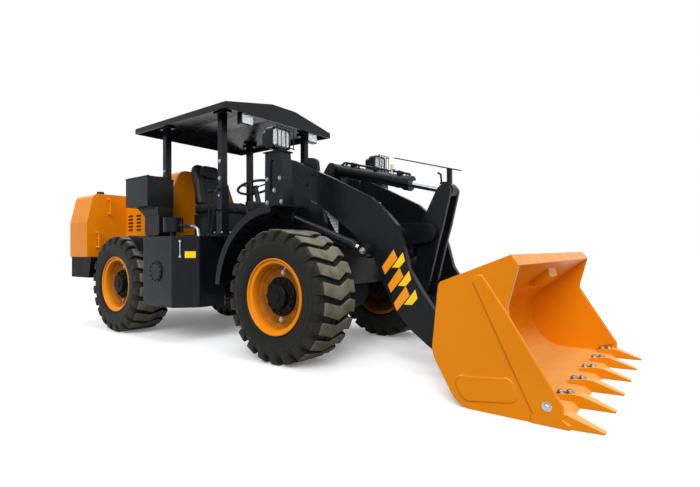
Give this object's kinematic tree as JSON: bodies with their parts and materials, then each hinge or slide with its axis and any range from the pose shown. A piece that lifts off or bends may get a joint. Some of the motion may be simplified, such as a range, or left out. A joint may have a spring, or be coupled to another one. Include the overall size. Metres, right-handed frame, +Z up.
{
  "type": "articulated wheel loader",
  "caption": "Articulated underground wheel loader with an open canopied platform, Z-bar lift linkage, toothed bucket, centre-pivot steering and lugged tyres.",
  "frame": {"origin": "on the ground under the middle of the machine's length and width", "axes": "+X forward to the bucket, +Y to the operator's left, +Z up"},
  "size_m": [6.023, 1.97, 2.416],
  "materials": {
    "orange_paint": "gloss enamel",
    "dark_paint": "semi-gloss enamel",
    "cast_iron": "painted casting",
    "tyre_rubber": "dusty moulded rubber",
    "bare_steel": "zinc and worn steel",
    "chrome_rod": "hard chrome",
    "lamp_glass": "clear lamp",
    "black_vinyl": "grained vinyl"
  },
  "bodies": {
    "rear_frame": {"rear_chassis": "dark_paint", "counterweight": "dark_paint", "hood": "orange_paint", "rear_cowl": "orange_paint", "radiator_grille": "dark_paint", "engine_block": "cast_iron", "transmission": "cast_iron", "rear_axle": "cast_iron", "rear_drive_shaft": "cast_iron", "platform": "dark_paint", "tank_right": "dark_paint", "tank_left": "dark_paint", "toolbox": "dark_paint", "rear_fenders": "dark_paint", "canopy_roof": "dark_paint", "canopy_posts": "dark_paint", "work_lamps": "lamp_glass", "seat_base": "cast_iron", "seat_pads": "black_vinyl", "steering_column": "cast_iron", "grab_handles": "orange_paint", "air_filter": "cast_iron"},
    "front_frame": {"front_frame": "dark_paint", "hinge_pins": "bare_steel", "front_axle": "cast_iron", "front_fenders": "dark_paint", "lamp_posts": "dark_paint", "headlamps": "lamp_glass", "tread_plate": "bare_steel", "front_drive_shaft": "cast_iron"},
    "toolbox_lid": {"toolbox_lid": "dark_paint"},
    "wheel_front_left": {"tyre_front_left": "tyre_rubber", "rim_front_left": "orange_paint", "hub_front_left": "cast_iron"},
    "wheel_front_right": {"tyre_front_right": "tyre_rubber", "rim_front_right": "orange_paint", "hub_front_right": "cast_iron"},
    "wheel_rear_left": {"tyre_rear_left": "tyre_rubber", "rim_rear_left": "orange_paint", "hub_rear_left": "cast_iron"},
    "wheel_rear_right": {"tyre_rear_right": "tyre_rubber", "rim_rear_right": "orange_paint", "hub_rear_right": "cast_iron"},
    "lift_arms": {"lift_arms": "dark_paint"},
    "bucket": {"bucket": "orange_paint", "bucket_teeth": "orange_paint"},
    "bell_crank": {"bell_crank": "dark_paint"},
    "tilt_link": {"tilt_link": "dark_paint"},
    "tilt_barrel": {"tilt_barrel": "dark_paint"},
    "tilt_rod": {"tilt_rod": "chrome_rod", "level_bar": "dark_paint"},
    "lift_barrels": {"lift_barrels": "dark_paint"},
    "lift_rods": {"lift_rods": "chrome_rod"},
    "steer_barrel_left": {"steer_barrel_left": "dark_paint"},
    "steer_rod_left": {"steer_rod_left": "chrome_rod"},
    "steer_barrel_right": {"steer_barrel_right": "dark_paint"},
    "steer_rod_right": {"steer_rod_right": "chrome_rod"}
  },
  "joints": [
    {"name": "steer", "type": "hinge", "parent": "rear_frame", "child": "front_frame", "pos_m": [-0.5615, 0, 0.72], "axis": [0, 0, 1], "range_deg": [-35, 35]},
    {"name": "toolbox_lid_hinge", "type": "hinge", "parent": "rear_frame", "child": "toolbox_lid", "pos_m": [-1.5185, -0.655, 1.708], "axis": [-1, 0, 0], "range_deg": [0, 90]},
    {"name": "roll_front_left", "type": "hinge", "parent": "front_frame", "child": "wheel_front_left", "pos_m": [0.7085, 0.755, 0.5375], "axis": [0, 1, 0], "continuous": true},
    {"name": "roll_front_right", "type": "hinge", "parent": "front_frame", "child": "wheel_front_right", "pos_m": [0.7085, -0.755, 0.5375], "axis": [0, 1, 0], "continuous": true},
    {"name": "roll_rear_left", "type": "hinge", "parent": "rear_frame", "child": "wheel_rear_left", "pos_m": [-1.8315, 0.755, 0.5375], "axis": [0, 1, 0], "continuous": true},
    {"name": "roll_rear_right", "type": "hinge", "parent": "rear_frame", "child": "wheel_rear_right", "pos_m": [-1.8315, -0.755, 0.5375], "axis": [0, 1, 0], "continuous": true},
    {"name": "lift", "type": "hinge", "parent": "front_frame", "child": "lift_arms", "pos_m": [0.3385, 0, 1.6], "axis": [0, -1, 0], "range_deg": [0, 70]},
    {"name": "tilt", "type": "hinge", "parent": "lift_arms", "child": "bucket", "pos_m": [1.9685, 0, 0.19], "axis": [0, 1, 0], "range_deg": [-42, 108]},
    {"name": "crank_turn", "type": "hinge", "parent": "lift_arms", "child": "bell_crank", "pos_m": [1.6385, 0, 1.04], "axis": [0, 1, 0], "range_deg": [-26.56, 10.63]},
    {"name": "link_turn", "type": "hinge", "parent": "bucket", "child": "tilt_link", "pos_m": [2.0385, 0, 0.4], "axis": [0, 1, 0], "range_deg": [-74.32, 29.21]},
    {"name": "tilt_barrel_turn", "type": "hinge", "parent": "front_frame", "child": "tilt_barrel", "pos_m": [0.5785, 0, 1.69], "axis": [0, -1, 0], "range_deg": [-0.5, 83.95]},
    {"name": "tilt_rod_slide", "type": "slide", "parent": "tilt_barrel", "child": "tilt_rod", "axis": [0.9687, 0, -0.2483], "range_m": [-0.1585, 0.0628]},
    {"name": "lift_barrel_turn", "type": "hinge", "parent": "front_frame", "child": "lift_barrels", "pos_m": [0.2385, 0, 1.27], "axis": [0, -1, 0], "range_deg": [-0.5, 62.13]},
    {"name": "lift_rod_slide", "type": "slide", "parent": "lift_barrels", "child": "lift_rods", "axis": [0.9411, 0, -0.3381], "range_m": [-0.002, 0.3525]},
    {"name": "steer_barrel_left_turn", "type": "hinge", "parent": "rear_frame", "child": "steer_barrel_left", "pos_m": [-0.9815, 0.2, 0.72], "axis": [0, 0, 1], "range_deg": [-14.29, 14.29]},
    {"name": "steer_rod_left_slide", "type": "slide", "parent": "steer_barrel_left", "child": "steer_rod_left", "axis": [0.9983, 0.0587, 0], "range_m": [-0.1366, 0.1366]},
    {"name": "steer_barrel_right_turn", "type": "hinge", "parent": "rear_frame", "child": "steer_barrel_right", "pos_m": [-0.9815, -0.2, 0.72], "axis": [0, 0, 1], "range_deg": [-14.29, 14.29]},
    {"name": "steer_rod_right_slide", "type": "slide", "parent": "steer_barrel_right", "child": "steer_rod_right", "axis": [0.9983, -0.0587, 0], "range_m": [-0.1366, 0.1366]}
  ],
  "couplings": [
    {"joint": "crank_turn", "follows": "tilt", "ratio": -0.2413},
    {"joint": "link_turn", "follows": "tilt", "ratio": -0.6835},
    {"joint": "tilt_rod_slide", "follows": "tilt", "m_per_rad": -0.083},
    {"joint": "tilt_barrel_turn", "follows": "lift", "ratio": 1.1922},
    {"joint": "lift_barrel_turn", "follows": "lift", "ratio": 0.8805},
    {"joint": "lift_rod_slide", "follows": "lift", "m_per_rad": 0.28685},
    {"joint": "steer_barrel_left_turn", "follows": "steer", "ratio": 0.394},
    {"joint": "steer_rod_left_slide", "follows": "steer", "m_per_rad": -0.2204},
    {"joint": "steer_barrel_right_turn", "follows": "steer", "ratio": 0.394},
    {"joint": "steer_rod_right_slide", "follows": "steer", "m_per_rad": 0.2204}
  ]
}
